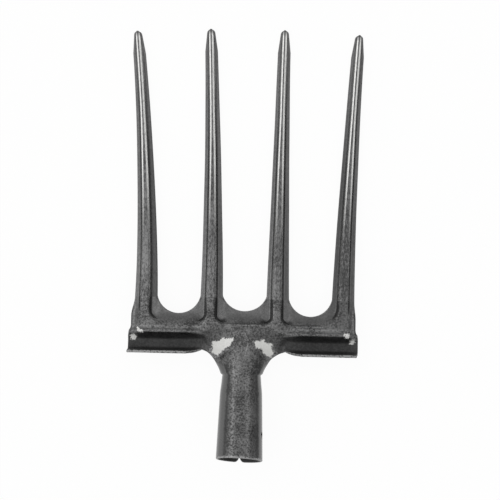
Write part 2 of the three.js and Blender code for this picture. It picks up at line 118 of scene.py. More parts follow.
# corners of the bright patches of painted highlight: two large ones beside the neck
# and two small ones at each end of the ridge
paintedGlints = [
    [(-27.9, 1.8), (-21.8, 1.7), (-19.8, 4.8), (-13.5, 4.5), (-8.7, 5.2), (-12.6, -1.3),
     (-17.3, -4.5), (-23.4, -10.2), (-27.7, -8.1)],
    [(8.6, 3.0), (14.2, 3.4), (17.4, 4.9), (19.5, 1.7), (25.4, 1.7), (24.6, -2.0), (26.7, -7.2),
     (23.7, -10.8), (17.9, -7.1), (15.8, -3.1), (11.3, -2.5), (10.1, 0.6)],
    [(-95.3, 13.0), (-93.8, 13.0), (-92.6, 11.5), (-90.0, 9.8), (-90.4, 8.9), (-93.0, 9.3),
     (-94.9, 10.7)],
    [(-101.7, 6.6), (-98.9, 7.0), (-96.4, 5.4), (-97.4, 2.8), (-99.9, 2.3), (-101.5, 4.4)],
    [(89.1, 10.6), (91.6, 12.5), (93.4, 12.9), (94.0, 10.7), (93.1, 8.1), (91.3, 8.1)],
    [(94.4, 4.1), (95.8, 6.0), (98.8, 7.1), (99.3, 4.9), (97.0, 3.3)],
]
glintLow, glintHigh = -16, 18  # past these nothing is near a patch
notGlint = -9
farAway = 99


# how far a point lies inside an outline, less than 0 outside it
def insideOutline(x, y, outline):
    nearest = farAway
    inside = False
    for (x1, y1), (x2, y2) in zip(outline, outline[1:] + outline[:1]):
        along = clamp(((x - x1) * (x2 - x1) + (y - y1) * (y2 - y1)) / hypot(x2 - x1, y2 - y1) ** 2)
        nearest = min(nearest, hypot(x - mix(x1, x2, along), y - mix(y1, y2, along)))
        if (y1 > y) != (y2 > y) and x < mix(x1, x2, (y - y1) / (y2 - y1)):
            inside = not inside
    return nearest if inside else -nearest


def insideGlint(x, y):
    if not glintLow < y < glintHigh:
        return notGlint
    return max(notGlint, *(insideOutline(x, y, outline) for outline in paintedGlints))


def hang(x, y):
    if y > 0:
        fade = clamp(1 - (y - prong["rootY"]) / prong["outerLength"])
    else:
        fade = clamp(1 + y / plate["hangNeck"])
    return -plate["hang"] * ease(x, 0, plate["hangRun"]) * fade


# puts a mesh, light or camera in the scene, or a mesh made from a bmesh
def addObject(name, data):
    if isinstance(data, bmesh.types.BMesh):
        shape, data = data, bpy.data.meshes.new(name)
        shape.to_mesh(data)
        shape.free()
    item = bpy.data.objects.new(name, data)
    bpy.context.scene.collection.objects.link(item)
    return item


# Skins a piece of the plate with a grid, pulled through to its back. place(column, row, back)
# gives a point and its marks: wear and painted highlight, scale and painted shade, smoothness, and
# the way across and along a tine.
def pressPiece(node, columns, rows, place, material):
    skin = bmesh.new()
    bmesh.ops.create_grid(skin, x_segments=columns - 1, y_segments=rows - 1, size=1)
    layers = {
        key: skin.verts.layers.float.new(key)
        for key in ("wear", "scale", "smooth", "across", "along", "bare")
    }
    pulled = bmesh.ops.extrude_face_region(skin, geom=skin.faces[:], use_keep_orig=True)
    backs = {item for item in pulled["geom"] if isinstance(item, bmesh.types.BMVert)}
    for vert in skin.verts:
        column = round((vert.co.x + 1) / 2 * (columns - 1))
        row = round((1 - vert.co.y) / 2 * (rows - 1))
        back = vert in backs
        point, marks = place(column, row, back)
        flat = Vector((point[0], point[1], 0)) / plate["waverLength"]
        moved = Vector(point) + noise.noise_vector(flat) * plate["waver"]
        moved.y += hang(point[0], point[1])
        vert.co = layDown @ moved
        # how far the point lies inside a patch of painted highlight
        marks["bare"] = notGlint if back else insideGlint(point[0], point[1])
        for key, layer in layers.items():
            vert[layer] = marks.get(key, 0)
    bmesh.ops.recalc_face_normals(skin, faces=skin.faces[:])
    piece = addObject("skin_" + node, skin)
    piece.data.shade_smooth()
    piece.data.set_sharp_from_angle(angle=radians(plate["sharp"]))
    piece.data.materials.append(material)
    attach(piece, "root")
    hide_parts(node)
    print(piece.name, len(piece.data.polygons), "faces")
    return piece


prong = {
    "rootY": 41.1,  # where the tines meet the crosshead
    "outerLength": 240,
    "innerLength": 243,
    "innerX": 29.7,
    "outerX": 88.4,
    "innerSplay": 3.1,
    "outerSplay": 10.4,
    # how far right of even each tine's tip, middle and crown are
    "sets": {"outer_left": (-3, 0.9, -0.7), "inner_left": (-2.5, 0.4, -0.5),
             "inner_right": (-1.2, 0.1, -0.7), "outer_right": (0.4, 0.5, -0.2)},
    "rootWidth": 20.2,
    "shankWidth": 11.5,
    "pointLength": 20,
    "pointWidth": 6.7,
    "tipReach": 3.0,  # length of the blunt round end
    "tipPower": 2.2,
    "solidLength": 34,  # the back of the rib fills up between here and the point
    "bow": 8,  # the tips have come this far forward
    "splayPower": 1.55,
    "taperPower": 1.2,
    "crownHeight": 7,
    "crownTipHeight": 4.2,
    "crownHalf": 3.8,
    "crownTipHalf": 1.6,
    "crownTaper": 0.7,  # share of the length over which the crown narrows
    "crownWall": 1.6,
    "crownTipWall": 2.2,
    "tipCrown": 0.35,  # what is left of the crown's height at the very tip
    "tipBack": 0.9,  # how far the back is rounded up there
    "step": 2.4,
    "pointStep": 1.3,
    "rootSteps": (0, 0.6, 1.4, 2.6),
    "tipShares": (0.25, 0.45, 0.6, 0.72, 0.82, 0.89, 0.94, 0.975, 0.996),
    # marks: how strong, and the shares of the length where they begin and are full
    # the next three are painted shade, where less light falls
    "innerShade": (0.55, 0.85, 0.45),  # painted shade on the inner flange of an outer tine
    "edgeShade": (1, 0.5, 0.2),  # painted shade on the right-hand trimmed edge
    "flangeShade": (0.5, 0.6, 0.2),
    "wallWear": (0.5, 0.5, 0),
    "smooth": 0.7,
    "backAcross": 9,  # keeps the shoulders' painted highlight lines off the back
}

# round roots of the gaps from left to right: middle, radius and lowest point
sideCrotchX = (prong["innerX"] + prong["outerX"]) / 2
sideCrotch = {"radius": 19.7, "low": 26.9}
crotches = [
    {"x": -sideCrotchX, **sideCrotch},
    {"x": 0, "radius": 20.9, "low": 29.6},
    {"x": sideCrotchX, **sideCrotch},
]


def crotchHalf(crotch, y):
    below = max(crotch["low"] + crotch["radius"] - y, 0)
    return sqrt(max(crotch["radius"] ** 2 - below**2, 0))


tines = []
for name, (tipSet, sag, crownShift) in prong["sets"].items():
    where = name.split("_")[0]
    side = -1 if name.endswith("left") else 1
    rootX = side * prong[where + "X"]
    tines.append({
        "node": "tine_" + name,
        "index": len(tines),
        "side": side,
        "outer": where == "outer",
        "length": prong[where + "Length"],
        "rootX": rootX,
        "splay": side * prong[where + "Splay"] + tipSet,
        "sag": sag,
        "crownShift": crownShift,
        "crownX": rootX + crownShift,
    })


# edges, middle of the crown and its sizes, at a distance along a tine
def tineSection(tine, along):
    share = along / tine["length"]
    shank = tine["length"] - prong["pointLength"]
    pointShare = shareOf(along, shank, tine["length"])
    y = prong["rootY"] + along
    middle = tine["rootX"] + tine["splay"] * share ** prong["splayPower"]
    middle += tine["sag"] * 4 * share * (1 - share)
    taper = (1 - min(along / shank, 1)) ** prong["taperPower"]
    bevel = (prong["shankWidth"] - prong["pointWidth"]) * pointShare
    half = (mix(prong["shankWidth"], prong["rootWidth"], taper) - bevel) / 2
    left = middle - half
    right = middle + half
    for crotch in crotches[max(tine["index"] - 1, 0) : tine["index"] + 1]:
        if y < crotch["low"] + crotch["radius"]:
            if crotch["x"] < middle:
                left = min(left, crotch["x"] + crotchHalf(crotch, y))
            else:
                right = max(right, crotch["x"] - crotchHalf(crotch, y))
    crownTaper = min(share / prong["crownTaper"], 1)
    return {
        "y": y,
        "left": left,
        "right": right,
        "crownX": middle + mix(tine["crownShift"], 0, share),
        "crown": mix(prong["crownHeight"], prong["crownTipHeight"], share),
        "half": mix(prong["crownHalf"], prong["crownTipHalf"], crownTaper),
        "wall": mix(prong["crownWall"], prong["crownTipWall"], share),
        "bow": prong["bow"] * share * share,
        "hollow": shareOf(tine["length"] - along, prong["pointLength"], prong["solidLength"]),
    }


# where the columns stand across a rib: trimmed edge, flange, side of the rib, crown
halfRib = (
    [("edge", distance) for distance in roundMarks]
    + [("flange", n / 5) for n in range(1, 5)]
    + [("wall", n / 5 - plate["bend"]) for n in range(11)]
    + [("crown", 0.66), ("crown", 0.33)]
)
ribColumns = (
    [(-1, *mark) for mark in halfRib]
    + [(0, "crown", 0.0)]
    + [(1, *mark) for mark in reversed(halfRib)]
)


# how far a column is from the crown's middle, its lift, and how far it and that middle are
# from the edge
def ribColumn(section, side, kind, mark):
    reach = abs((section["left"] if side < 0 else section["right"]) - section["crownX"])
    margin = 1.5 * edgeRound
    crown = min(section["half"], reach / 2)
    wall = min(section["wall"], (reach - margin - crown) / (1 + plate["bend"]))
    foot = crown + wall
    if kind == "edge":
        return reach - mark, 0, mark, reach
    if kind == "flange":
        flange = mix(reach - edgeRound, foot + plate["bend"] * wall, mark)
        return flange, 0, margin, reach
    if kind == "wall":
        return foot - mark * wall, ramp(mark), margin, reach
    return mark * (crown - plate["bend"] * wall), 1, margin, reach


# inside, a rib is narrower: an offset from its middle is drawn in
def drawIn(offset, half, reach):
    inset = min(plate["ribInset"], half / 2)
    share = min(abs(offset) / half, (reach - abs(offset)) / (reach - half))
    return offset - copysign(inset * clamp(share), offset)


# a mark that is full at one share of a length and gone at another
def fading(share, strength, gone, full):
    return strength * ease(share, gone, full)


def makeTine(tine, material):
    shank = tine["length"] - prong["pointLength"]
    straight = prong["pointLength"] - prong["tipReach"]
    stations = [(along, 1) for along in prong["rootSteps"]]
    start = prong["rootSteps"][-1]
    count = round(shank / prong["step"])
    stations += [(along, 1) for along in steps(start, shank, count)]
    count = round(straight / prong["pointStep"])
    stations += [(along, 1) for along in steps(shank, shank + straight, count)]
    for share in prong["tipShares"]:
        roundness = (1 - share ** prong["tipPower"]) ** (1 / prong["tipPower"])
        stations.append((shank + straight + prong["tipReach"] * share, roundness))
    stations.reverse()

    def place(column, row, back):
        along, roundness = stations[row]
        section = tineSection(tine, along)
        side, kind, mark = ribColumns[column]
        offset, lift, fromEdge, reach = ribColumn(section, side, kind, mark)
        drop = edgeDrop(fromEdge)
        crown = section["crown"] * mix(prong["tipCrown"], 1, roundness) * lift
        z = section["bow"] + crown - drop
        if back:
            foot = min(section["half"], reach / 2) + section["wall"]
            if foot < reach and fromEdge > edgeRound:
                offset = drawIn(offset, foot, reach)
            z = section["bow"] + crown * section["hollow"] - plate["thickness"] + drop
            z += prong["tipBack"] * (1 - roundness)
        x = section["crownX"] + side * offset
        middle = (section["left"] + section["right"]) / 2
        share = along / tine["length"]
        # painted shade on the inner flange of an outer tine, and on the right-hand flange and edge
        paintedShade = 0
        if tine["outer"] and side != tine["side"]:
            paintedShade = fading(share, *prong["innerShade"]) * ease(lift, 0.5, 0)
        if side > 0 and fromEdge < edgeRound / 2:
            paintedShade = fading(share, *prong["edgeShade"])
        if side > 0 and kind == "flange":
            paintedShade = max(paintedShade, fading(share, *prong["flangeShade"]))
        wall = kind == "wall" and not back
        marks = {
            "wear": fading(share, *prong["wallWear"]) * near(lift, 0.5, 0.5) * wall,
            "scale": plate["backScale"] if back else paintedShade,
            "smooth": prong["smooth"] * ease(lift, 0.8, 0.1),
            "across": prong["backAcross"] if back else side * offset,
            "along": share,
        }
        return (mix(middle, x, roundness), section["y"], z), marks

    pressPiece(tine["node"], len(ribColumns), len(stations), place, material)


head = {
    "shoulderHalf": 100.6,
    "endHalf": 103.3,
    "trimShift": -0.8,  # the ends are cut this far to the left of even
    "shoulderY": 16,
    "shoulderDrop": 11,
    "flareLength": 17,
    "ridgeFootY": 19.3,
    "ridgeRise": 1.8,
    "wideEndX": 99.1,  # below wideEndY the ridge runs out to the trimmed ends
    "wideEndY": 29,
    "wideEndRun": 7,
    "wideEndSoft": 5,  # width of the ridge's side there
    "ridgeLowY": 8.9,
    "dropWidth": 3.9,
    "sideDrop": 9,  # beside the neck the fall is this wide
    "sidePower": 4,
    "broadReach": 10,  # in the fillets it reaches further and is as wide as broadDrop
    "broadDrop": 21,
    "broadPower": 1.8,
    "gutterDepth": 5,
    # the flat panels from left to right: radius of the two lower corners, and the length
    # over which the floor comes up to the ridge beside each
    "panels": [((14, 11), (8, 8)), ((10, 10), (8, 8)), ((10, 20), (8, 7))],
    "cornerTurn": (0.35, 0.65),  # shares of a panel's width between which each changes
    "riseTurn": (0.35, 0.75),
    "riseShift": 0.2,
    "wallTurn": (2, 12),  # away from the tines the panel's side is as wide as the rise
    "ridgeTurn": (0.3, 1),
    "crotchSteps": 36,
    "webRows": 20,
}
neck = {
    "wingHalf": 37.4,
    "wingRun": 3.6,
    "neckHalf": 13.5,
    "fillet": 25,
    "throatY": -28,
    "throatRadius": 17.2,
    "throatDepth": 17,  # it is a little flatter than round
    "swell": 0.8,  # how much wider the socket is soon after the throat
    "closedY": -50,
    "wingPower": 1.5,
    "lip": 1.5,  # the trimmed edge stands out this far where it runs out at the throat
    "lipRise": (8, 20),  # below the crosshead, where it begins and is full
    "lipEnd": (27.8, 26),  # and where it is gone again
    "crank": 12,
    "crankRun": 30,
    "bulge": (33, 46),
    "trimWear": 0.4,
    "fallShade": 0.8,  # strength of the painted shade in the gutter, which fades below it
    "foldStart": (12, 26),
    "paintedHalo": 0.7,  # light is painted round the bright patches, over slopes that lie in shade,
    "paintedHaloWidth": (5, 0.8),
    "paintedHaloStart": (2, 6),  # below the crosshead only
    "leanStart": (4, 14),
    "rollRun": (5, 28),  # below the crosshead, where the trimmed edges come round
    "rolledY": -23.8,
    "uprightY": -6,  # above this it is as thick upright as the crosshead
    "fallShadeEndY": -16.8,
    "halfColumns": 34,
}


# how far a point is down the fall from the ridge and the neck into the gutter, as a share of
# its width, and how broad it is there
def fallShare(x, y):
    fillet = neck["fillet"]
    besideNeck = max(fillet - (abs(x) - neck["neckHalf"]), 0)
    belowRidge = max(fillet - (head["ridgeLowY"] - y), 0)
    reach = hypot(besideNeck, belowRidge)
    broad = (2 * besideNeck * belowRidge / reach**2) ** head["broadPower"] if reach else 0
    side = (besideNeck / reach) ** head["sidePower"] if reach else 0
    width = mix(head["dropWidth"], head["sideDrop"], side)
    width = mix(width, head["broadDrop"], broad)
    return (fillet - reach + broad * head["broadReach"]) / width, broad


def fallen(x, y):
    share, broad = fallShare(x, y)
    return mix(ramp(share), ease(share, -0.5, 1.5), broad)


crownFoot = prong["crownHalf"] + prong["crownWall"]


# foot of the ridge's end beside an outer tine, and how far it has run out to the trimmed end
def ridgeEnd(x, y):
    out = ease(head["wideEndY"] - y, -head["wideEndRun"], head["wideEndRun"])
    return abs(tines[0 if x < 0 else 3]["crownX"]) + crownFoot, out


# share of the ridge's height between two tines, 0 on a flat panel
def panelLift(x, y):
    index = sum(x > tine["crownX"] for tine in tines[1:3])
    left = x - tines[index]["crownX"] - prong["crownHalf"]
    right = tines[index + 1]["crownX"] - prong["crownHalf"] - x
    across = left / (left + right)
    corners, rises = head["panels"][index]
    corner = mix(*corners, ease(across, *head["cornerTurn"]))
    rise = mix(*rises, ease(across, *head["riseTurn"]))
    beside = min(left, right)
    above = y - head["ridgeFootY"] + mix(head["ridgeRise"], rise, head["riseShift"])
    nearSide = max(corner - beside, 0)
    nearRidge = max(corner - above, 0)
    outside = min(beside, above)
    if nearSide or nearRidge:
        outside = corner - hypot(nearSide, nearRidge)
    soft = max(ease(beside, *head["wallTurn"]), ease(nearRidge / corner, *head["ridgeTurn"]))
    return ramp(1 - outside / mix(prong["crownWall"], rise, soft))


# height of the pressed front face over the crosshead and the flat of the neck
def pressedHeight(x, y):
    if tines[0]["crownX"] <= x <= tines[3]["crownX"]:
        lift = panelLift(x, y)
    else:
        foot, out = ridgeEnd(x, y)
        narrow = ramp((foot - abs(x)) / prong["crownWall"])
        wide = ramp((head["wideEndX"] - abs(x)) / head["wideEndSoft"])
        lift = mix(narrow, wide, out)
    return mix(prong["crownHeight"] * lift, -head["gutterDepth"], fallen(x, y))


def headEnd(side, y):
    root = prong["outerX"] + prong["rootWidth"] / 2
    flare = ease(y, prong["rootY"] - head["flareLength"], prong["rootY"])
    flared = mix(head["shoulderHalf"], root, flare)
    shoulder = ease(y, head["shoulderY"] - head["shoulderDrop"], head["shoulderY"])
    return side * mix(head["endHalf"], flared, shoulder) + head["trimShift"] * (1 - flare)


# columns of the crosshead from left to right, with what bounds each at its top
def headColumns():
    columns = []
    for tine in tines:
        section = tineSection(tine, 0)
        for side, kind, mark in ribColumns:
            offset, lift, fromEdge, reach = ribColumn(section, side, kind, mark)
            columns.append({
                "x": section["crownX"] + side * offset,
                "crownX": section["crownX"],
                "reach": reach,
                "end": side if tine["outer"] and side == tine["side"] else 0,
                "fromCrown": offset,
            })
        for crotch in crotches[tine["index"] : tine["index"] + 1]:
            spread = asin(crotchHalf(crotch, prong["rootY"]) / crotch["radius"])
            for step in range(1, head["crotchSteps"]):
                beside = crotch["radius"] * sin(spread * (2 * step / head["crotchSteps"] - 1))
                columns.append({
                    "x": crotch["x"] + beside, "crotch": crotch, "beside": beside, "end": 0,
                })
    return columns


# distance from the nearest round root of a gap
def fromCrotch(x, y):
    distances = (
        hypot(x - crotch["x"], y - crotch["low"] - crotch["radius"]) - crotch["radius"]
        for crotch in crotches
    )
    return max(min(distances), 0)


# marks on the crosshead. A place across the fall is a share of its width, less than 0 on the
# ridge; each row ends in how strong the mark is
headMarks = {
    "from": (35, 43),  # how far from the middle the painted brow highlights and shade begin
    "browHighlights": [(-1.5, 0.4, 0.4), (-0.36, 0.2, 0.4)],  # painted highlights along the ridge's brow: place, half width
    # painted shade line just above the brow
    "browShade": (-0.87, 0.24, 0.9),
    "rootScale": (4.5, 1),  # within so much of the tines' roots,
    "rootEdge": (2.2, 0.8),  # and so near to the round root of a gap
    # painted shade in the gutter, which lies deep between the ridge and the tread
    "gutterShade": 0.85,
    "gutterFull": (0.8, 1.1),
    "endLow": (8, 12),  # between these heights the trimmed ends have a dark and a light line
    "endHigh": (34, 28),
    "endDark": (1.9, 1.2),
    "endLight": (2.4, 0.9),
    "shaded": (0.3, 20, 80),
    "trimWear": 0.4,
    "smooth": 0.7,
    "smoothHigh": (6, 1),  # only the panels are smooth, below the ridge
    "smoothAbove": (-0.3, -0.8),
}


def markHead(x, y, z, fall, toEnd, trimmed):
    marks = headMarks
    beyond = ease(abs(x), *marks["from"])
    browHighlights = max(strength * near(fall, at, half) for at, half, strength in marks["browHighlights"])
    at, half, strength = marks["browShade"]
    browShade = strength * near(fall, at, half)
    rooted = ease(abs(y - prong["rootY"]), *marks["rootScale"])
    rooted *= ease(fromCrotch(x, y), *marks["rootEdge"])
    # painted shade in the gutter
    gutter = ramp(fall) * mix(marks["gutterShade"], 1, ease(fall, *marks["gutterFull"]))
    atEnd = ease(y, *marks["endLow"]) * ease(y, *marks["endHigh"])
    dark = atEnd * ease(toEnd, *marks["endDark"])
    worn = marks["trimWear"] if trimmed and dark < 0.5 else 0
    smooth = ease(z, *marks["smoothHigh"]) * ease(fall, *marks["smoothAbove"])
    return {
        "wear": max(worn, beyond * browHighlights, atEnd * near(toEnd, *marks["endLight"])),
        "scale": max(gutter, rooted, beyond * browShade, dark, fading(x, *marks["shaded"])),
        "smooth": marks["smooth"] * smooth,
    }


def makeCrosshead(material):
    rootY = prong["rootY"]
    ridgeMiddleY = (head["ridgeFootY"] + head["ridgeLowY"]) / 2
    bend = plate["bend"]
    low = sideCrotch["low"]
    riseTop = head["ridgeFootY"] + bend * head["ridgeRise"]
    riseLow = head["ridgeFootY"] - (1 + bend) * head["ridgeRise"]
    fallTop = head["ridgeLowY"] + bend * head["dropWidth"]
    fallLow = head["ridgeLowY"] - (1 + bend) * head["dropWidth"]
    spread = cos(asin(crotchHalf(sideCrotch, rootY) / sideCrotch["radius"]))
    rows = [("edge", distance) for distance in roundMarks]
    rows += [("web", n / head["webRows"]) for n in range(1, head["webRows"])]
    rows += [("rise", n / 5 - bend) for n in range(11)]
    rows += [("top", n / 9) for n in range(1, 9)]
    rows += [("fall", n / 7 - bend) for n in range(15)]
    rows += [("floor", share) for share in (0.35, 0.7, 0.88, 1)]
    columns = headColumns()

    def rowY(column, kind, mark):
        if kind in ("edge", "web"):
            inside = mark if kind == "edge" else edgeRound
            start = rootY - inside / spread
            if "crotch" in column:
                crotch = column["crotch"]
                down = sqrt((crotch["radius"] + inside) ** 2 - column["beside"] ** 2)
                start = min(crotch["low"] + crotch["radius"] - down, rootY)
            return start if kind == "edge" else mix(start, riseTop, mark)
        if kind == "rise":
            return head["ridgeFootY"] - mark * head["ridgeRise"]
        if kind == "top":
            return mix(riseLow, fallTop, mark)
        if kind == "fall":
            return head["ridgeLowY"] - mark * head["dropWidth"]
        return mix(fallLow, 0, mark)

    def place(columnIndex, row, back):
        column = columns[columnIndex]
        kind, mark = rows[row]
        y = rowY(column, kind, mark)
        x = column["x"]
        toEnd = farAway
        if column["end"]:
            end = headEnd(column["end"], y)
            straight = column["crownX"] + column["end"] * column["reach"]
            inner = crownFoot + plate["bend"] * prong["crownWall"]
            outer = column["reach"] - edgeRound
            x += (end - straight) * clamp((column["fromCrown"] - inner) / (outer - inner))
            toEnd = abs(end - x)
        drop = edgeDrop(min(fromCrotch(x, y), toEnd))
        z = pressedHeight(x, y)
        fall = fallShare(x, y)[0]
        if not back:
            return (x, y, z - drop), markHead(x, y, z, fall, toEnd, drop > 0)
        if "reach" in column:
            offset = abs(x - column["crownX"])
            reach = column["reach"]
            foot = crownFoot
            if column["end"]:
                reach = abs(end - column["crownX"])
                foot, out = ridgeEnd(x, y)
                foot = mix(foot, head["wideEndX"], out) - abs(column["crownX"])
                foot = min(foot, reach - 1)
            if offset > 0.01 and offset < reach - edgeRound:
                x = column["crownX"] + copysign(drawIn(offset, foot, reach), x - column["crownX"])
        if y > ridgeMiddleY:
            drawn = drawIn(
                min(y, low) - ridgeMiddleY, head["ridgeFootY"] - ridgeMiddleY, low - ridgeMiddleY
            )
            backY = ridgeMiddleY + drawn + max(y - low, 0)
        else:
            below = clamp(fall + 1) * clamp(y / (head["ridgeLowY"] - head["dropWidth"]))
            backY = y + plate["ribInset"] * below
        return (x, backY, z - plate["thickness"] + drop), {"scale": plate["backScale"]}

    pressPiece("crosshead", len(columns), len(rows), place, material)


tread = {
    "foldY": -2,
    "foldRadius": 3.4,
    "lean": 10,
    "rise": 9.5,
    "taper": 14,
    "endCut": 1.8,  # the upright of the right-hand one is cut back this far at its end
    "trimWear": 1.5,
}


# section of a tread: floor of the gutter, fold and upright, by the way along it
def treadPoint(way, depth, foldAngle):
    floor = -tread["foldY"]
    base = -head["gutterDepth"]
    if way <= floor:
        return -way, base - depth
    inner = tread["foldRadius"]
    angle = min((way - floor) / inner, foldAngle)
    radius = inner + depth
    past = way - floor - inner * angle
    y = tread["foldY"] - radius * sin(angle) - past * cos(angle)
    return y, base + inner - radius * cos(angle) + past * sin(angle)


def makeTread(side, node, material):
    innerX = neck["wingHalf"]
    outerX = side * headEnd(side, 0)
    xs = [innerX, *steps(innerX, innerX + tread["taper"], 18)]
    xs += steps(xs[-1], outerX - edgeRound, 20)[:-1]
    xs += [outerX - distance for distance in reversed(roundMarks)]
    fullFold = radians(90 - tread["lean"])
    shares = [("floor", n / 3) for n in range(4)]
    shares += [("fold", n / 10) for n in range(1, 11)]
    shares += [("rise", n / 7) for n in range(1, 7)]
    shares += [("edge", distance) for distance in reversed(roundMarks)]
    if side < 0:
        xs.reverse()

    def place(column, row, back):
        x = xs[column]
        raised = min((x - innerX) / tread["taper"], 1)
        foldAngle = fullFold * sin(raised * pi / 2)
        past = mix(neck["wingRun"], 0, raised) + tread["rise"] * raised**3
        floor = -tread["foldY"]
        folded = floor + tread["foldRadius"] * foldAngle
        full = folded + past
        kind, mark = shares[row]
        ways = {
            "floor": floor * mark,
            "fold": mix(floor, folded, mark),
            "rise": mix(folded, full - edgeRound, mark),
            "edge": full - mark,
        }
        drop = edgeDrop(min(full - ways[kind], outerX - x))
        depth = plate["thickness"] - drop if back else drop
        if side > 0:
            upper = ease(ways[kind], floor, full) * ease(x, outerX - tread["taper"], outerX)
            x -= tread["endCut"] * upper
        y, z = treadPoint(ways[kind], depth, foldAngle)
        trimmed = ways[kind] > full - edgeRound
        marks = {
            "wear": tread["trimWear"] * trimmed,
            # the front lies in the gutter and is painted dark as its shade
            "scale": plate["backScale"] if back else 1 - trimmed,
        }
        return (side * x, y, z), marks

    pressPiece(node, len(xs), len(shares), place, material)


socket = {
    "mouthY": -102.4,
    "mouthRadius": 20.6,
    "mouthLean": 9.7,  # degrees that its cut leans back, and runs down to the right
    "mouthSkew": 2,
    "flarePower": 0.7,
    "seamWidth": 1.4,
    "seamCorner": 4,  # the corners of the seam are rounded off at the mouth
    "valleyDepth": 1.1,
    "valleyHalfAngle": 22,
    "neckLean": 1.2,  # it stands this far to the left,
    "lean": 0.008,  # and so much of the way down further
    "holeTurn": 13,  # degrees that the right-hand hole stands towards the front
    # the sides were folded over a tool that left them smooth, with a dark band painted along it
    # as the reflection of the dark horizon: angles where the smooth side begins and the dark band
    # ends
    "folds": [(-44, -29), (56, 34)],
    "foldFade": 0.7,
    "foldSoft": 0.05,
    "highlightStreaks": [(-21, 4, 0.6), (22, 5, 0.15)],  # painted highlight streaks down the front: angle, half width, how strong
    "lip": (1.9, 0.3),  # the scale is gone from the mouth's cut, from so far above it
    "lipWear": 2,
    "hole": 6.4,  # for the handle's screw, through both sides
    "holeInset": 22.8,
    "halfColumns": 44,
}


# how far the front of the neck and the socket has come forward at y
def crankRise(y):
    run = max(-y, 0)
    bentRun = neck["crankRun"]
    bent = run * run / (2 * bentRun) if run < bentRun else run - bentRun / 2
    return tan(radians(neck["crank"])) * bent


# how far down the socket y is, as a share that flares it
def flareShare(y):
    return shareOf(y, neck["throatY"], socket["mouthY"]) ** socket["flarePower"]


def socketRadius(y):
    start = neck["throatRadius"] + neck["swell"] * ease(-y, *neck["bulge"])
    return mix(start, socket["mouthRadius"], flareShare(y))


# the same from front to back
def socketDepth(y):
    return mix(neck["throatDepth"], socket["mouthRadius"], flareShare(y))


wingY = tread["foldY"] - neck["wingRun"]


def neckEdge(y):
    if y >= wingY:
        return neck["wingHalf"]
    lip = neck["lip"] * ease(-y, *neck["lipRise"]) * ease(-y, *neck["lipEnd"])
    down = shareOf(y, wingY, neck["throatY"])
    power = neck["wingPower"]
    full = (1 - (1 - down) ** power) ** (1 / power)
    return mix(neck["wingHalf"], neck["throatRadius"], full) + lip


# front profile of the neck at y, share 0 at its middle and 1 at its trimmed edge
def neckPoint(y, share):
    rolled = ease(y, wingY, neck["rolledY"])
    angle = share * pi / 2
    edge = neckEdge(y)
    pressed = pressedHeight(share * edge, y)
    rounded = prong["crownHeight"] - neck["throatDepth"] * (1 - cos(angle))
    return edge * mix(share, sin(angle), rolled), mix(pressed, rounded, rolled) + crankRise(y)


# front profile of the rolled part at y, wrapped as far as the given angle
def rolledPoint(y, share, wrap):
    radius = socketRadius(y)
    angle = share * wrap
    along = shareOf(y, neck["closedY"], socket["mouthY"])
    dip = max(1 - (angle / radians(socket["valleyHalfAngle"])) ** 2, 0) ** 2
    valley = socket["valleyDepth"] * along * dip
    top = prong["crownHeight"] + crankRise(y)
    z = top - socketDepth(y) * (1 - cos(angle)) - valley * cos(angle)
    return (radius - valley) * sin(angle), z


def seamAngle(y):
    return pi - asin(socket["seamWidth"] / 2 / socketRadius(y))


# point in the steel of a rolled section, depth under its front
def shellPoint(y, share, depth, profile, upright, slope, skew):
    side = 1 if share >= 0 else -1
    step = 0.004
    share = abs(share)
    x, z = profile(y, share)
    x1, z1 = profile(y, max(share - step, 0))
    x2, z2 = profile(y, min(share + step, 1))
    if share < step:
        x1, z1 = -x2, z2
    run = hypot(x2 - x1, z2 - z1)
    inward = (mix((z2 - z1) / run, 0, upright), mix(-(x2 - x1) / run, -1, upright))
    x = side * (x + inward[0] * depth)
    z += inward[1] * depth
    axisZ = prong["crownHeight"] + crankRise(y) - socketRadius(y)
    lean = socket["neckLean"] * ease(-y, *neck["leanStart"])
    lean -= socket["lean"] * y
    return x - lean, y + slope * (z - axisZ) - skew * x, z


# shares from one trimmed edge to the other, closer at their rounding
def acrossShares(halfLength, count):
    half = [1 - distance / halfLength for distance in roundMarks]
    half += [half[-1] * (1 - n / count) for n in range(1, count)]
    return [-share for share in half] + [0] + half[::-1]


# how much painted dark reflection, painted highlight and smoothness the rolled steel has at an
# angle round from the front
def foldMarks(angle):
    turned = degrees(angle)
    dark = smooth = 0
    for fold, end in socket["folds"]:
        share = (turned - end) / (fold - end)
        edge = ease(share, 1 - socket["foldSoft"], 1 + socket["foldSoft"])
        dark = max(dark, ease(share, 0, socket["foldFade"]) * (1 - edge))
        smooth = max(smooth, edge)
    bright = max(strength * near(turned, at, half) for at, half, strength in socket["highlightStreaks"])
    return dark, bright, smooth


